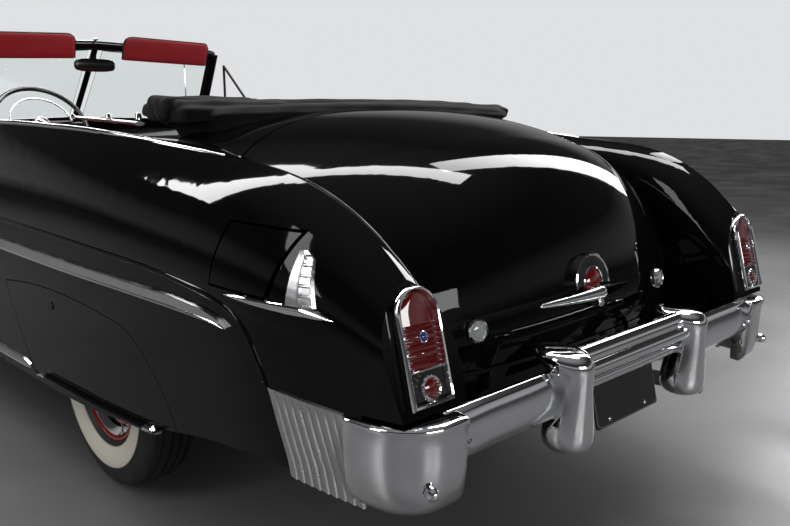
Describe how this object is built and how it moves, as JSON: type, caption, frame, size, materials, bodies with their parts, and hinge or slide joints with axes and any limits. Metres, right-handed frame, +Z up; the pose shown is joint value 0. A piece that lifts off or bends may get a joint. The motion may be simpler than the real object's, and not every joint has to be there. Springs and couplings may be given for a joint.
{
  "type": "convertible car",
  "caption": "Early nineteen-fifties convertible car: rounded wings, skirted rear wheels, split windscreen, folded cloth top, heavy chrome bumpers; doors, lids, steering and wheels move.",
  "frame": {"origin": "on the floor under the middle of the car's bounding box", "axes": "+Z up, -Y towards the front of the car, +X towards its left (driver's) side"},
  "size_m": [1.952, 5.3838, 1.6172],
  "materials": {
    "body_paint": "high gloss black",
    "chrome": "polished",
    "clear_glass": "clear",
    "dash_paint": "satin dark red",
    "engine_paint": "satin green-grey",
    "exhaust_steel": "dull",
    "frame_black": "satin black",
    "iron": "plain",
    "lens_clear": "fluted",
    "lens_red": "clear red",
    "plate_black": "satin black",
    "screen_paint": "gloss black",
    "seat_cover": "satin red",
    "steering_black": "gloss black",
    "top_cloth": "black cloth",
    "tyre_rubber": "black with a cream side band",
    "underbody_paint": "satin black",
    "wheel_paint": "gloss red"
  },
  "bodies": {
    "body": {"chassis_frame": "frame_black", "cowl": "body_paint", "dashboard": "dash_paint", "deck_surround": "body_paint", "driveshaft": "iron", "engine": "engine_paint", "exhaust": "exhaust_steel", "folded_top": "top_cloth", "front_bumper": "chrome", "front_seat": "seat_cover", "front_suspension": "iron", "front_wing_left": "body_paint", "front_wing_right": "body_paint", "fuel_tank": "frame_black", "grille": "chrome", "head_lenses": "lens_clear", "lamp_rims": "chrome", "licence_plate": "plate_black", "nose_panel": "body_paint", "quarter_left": "body_paint", "quarter_right": "body_paint", "radiator": "frame_black", "rear_axle": "iron", "rear_bumper": "chrome", "rear_seat": "seat_cover", "sun_visors": "seat_cover", "tail_lenses": "lens_red", "underbody": "underbody_paint", "wheel_skirts": "body_paint", "windscreen_frame": "screen_paint", "windscreen_glass": "clear_glass"},
    "door_left": {"door_left": "body_paint", "vent_window_left": "chrome"},
    "door_right": {"door_right": "body_paint", "vent_window_right": "chrome"},
    "bonnet": {"bonnet": "body_paint"},
    "boot_lid": {"boot_lid": "body_paint", "lid_trim": "chrome"},
    "fuel_door": {"fuel_door": "body_paint"},
    "knuckle_left": {"knuckle_left": "iron"},
    "knuckle_right": {"knuckle_right": "iron"},
    "wheel_front_left": {"tyre_front_left": "tyre_rubber", "wheel_front_left": "wheel_paint"},
    "wheel_front_right": {"tyre_front_right": "tyre_rubber", "wheel_front_right": "wheel_paint"},
    "wheel_rear_left": {"tyre_rear_left": "tyre_rubber", "wheel_rear_left": "wheel_paint"},
    "wheel_rear_right": {"tyre_rear_right": "tyre_rubber", "wheel_rear_right": "wheel_paint"},
    "steering_wheel": {"steering_wheel": "steering_black"}
  },
  "joints": [
    {"name": "door_left_hinge", "type": "hinge", "parent": "body", "child": "door_left", "pos_m": [0.9695, -0.7, 0.8], "axis": [0, 0, -1], "range_deg": [0, 65]},
    {"name": "door_right_hinge", "type": "hinge", "parent": "body", "child": "door_right", "pos_m": [-0.9695, -0.7, 0.8], "axis": [0, 0, 1], "range_deg": [0, 65]},
    {"name": "bonnet_hinge", "type": "hinge", "parent": "body", "child": "bonnet", "pos_m": [0, -0.963, 1.172], "axis": [-1, 0, 0], "range_deg": [0, 50]},
    {"name": "boot_lid_hinge", "type": "hinge", "parent": "body", "child": "boot_lid", "pos_m": [0, 1.711, 1.2215], "axis": [1, 0, 0], "range_deg": [0, 55]},
    {"name": "fuel_door_hinge", "type": "hinge", "parent": "body", "child": "fuel_door", "pos_m": [0.9375, 2.126, 0.908], "axis": [0.2276, -0.3158, -0.9211], "range_deg": [0, 80]},
    {"name": "steer_left", "type": "hinge", "parent": "body", "child": "knuckle_left", "pos_m": [0.65, -1.797, 0.352], "axis": [0, 0, 1], "range_deg": [-30, 30]},
    {"name": "steer_right", "type": "hinge", "parent": "body", "child": "knuckle_right", "pos_m": [-0.65, -1.797, 0.352], "axis": [0, 0, 1], "range_deg": [-30, 30]},
    {"name": "steering_wheel_turn", "type": "hinge", "parent": "body", "child": "steering_wheel", "pos_m": [0.375, -0.365, 1.172], "axis": [0, 0.788, 0.6157], "range_deg": [-541, 541]},
    {"name": "spin_front_left", "type": "hinge", "parent": "knuckle_left", "child": "wheel_front_left", "pos_m": [0.743, -1.797, 0.352], "axis": [1, 0, 0], "continuous": true},
    {"name": "spin_front_right", "type": "hinge", "parent": "knuckle_right", "child": "wheel_front_right", "pos_m": [-0.743, -1.797, 0.352], "axis": [1, 0, 0], "continuous": true},
    {"name": "spin_rear_left", "type": "hinge", "parent": "body", "child": "wheel_rear_left", "pos_m": [0.755, 1.2, 0.352], "axis": [1, 0, 0], "continuous": true},
    {"name": "spin_rear_right", "type": "hinge", "parent": "body", "child": "wheel_rear_right", "pos_m": [-0.755, 1.2, 0.352], "axis": [1, 0, 0], "continuous": true}
  ],
  "couplings": [
    {"joint": "steer_right", "follows": "steer_left", "ratio": 1},
    {"joint": "steering_wheel_turn", "follows": "steer_left", "ratio": 18}
  ]
}
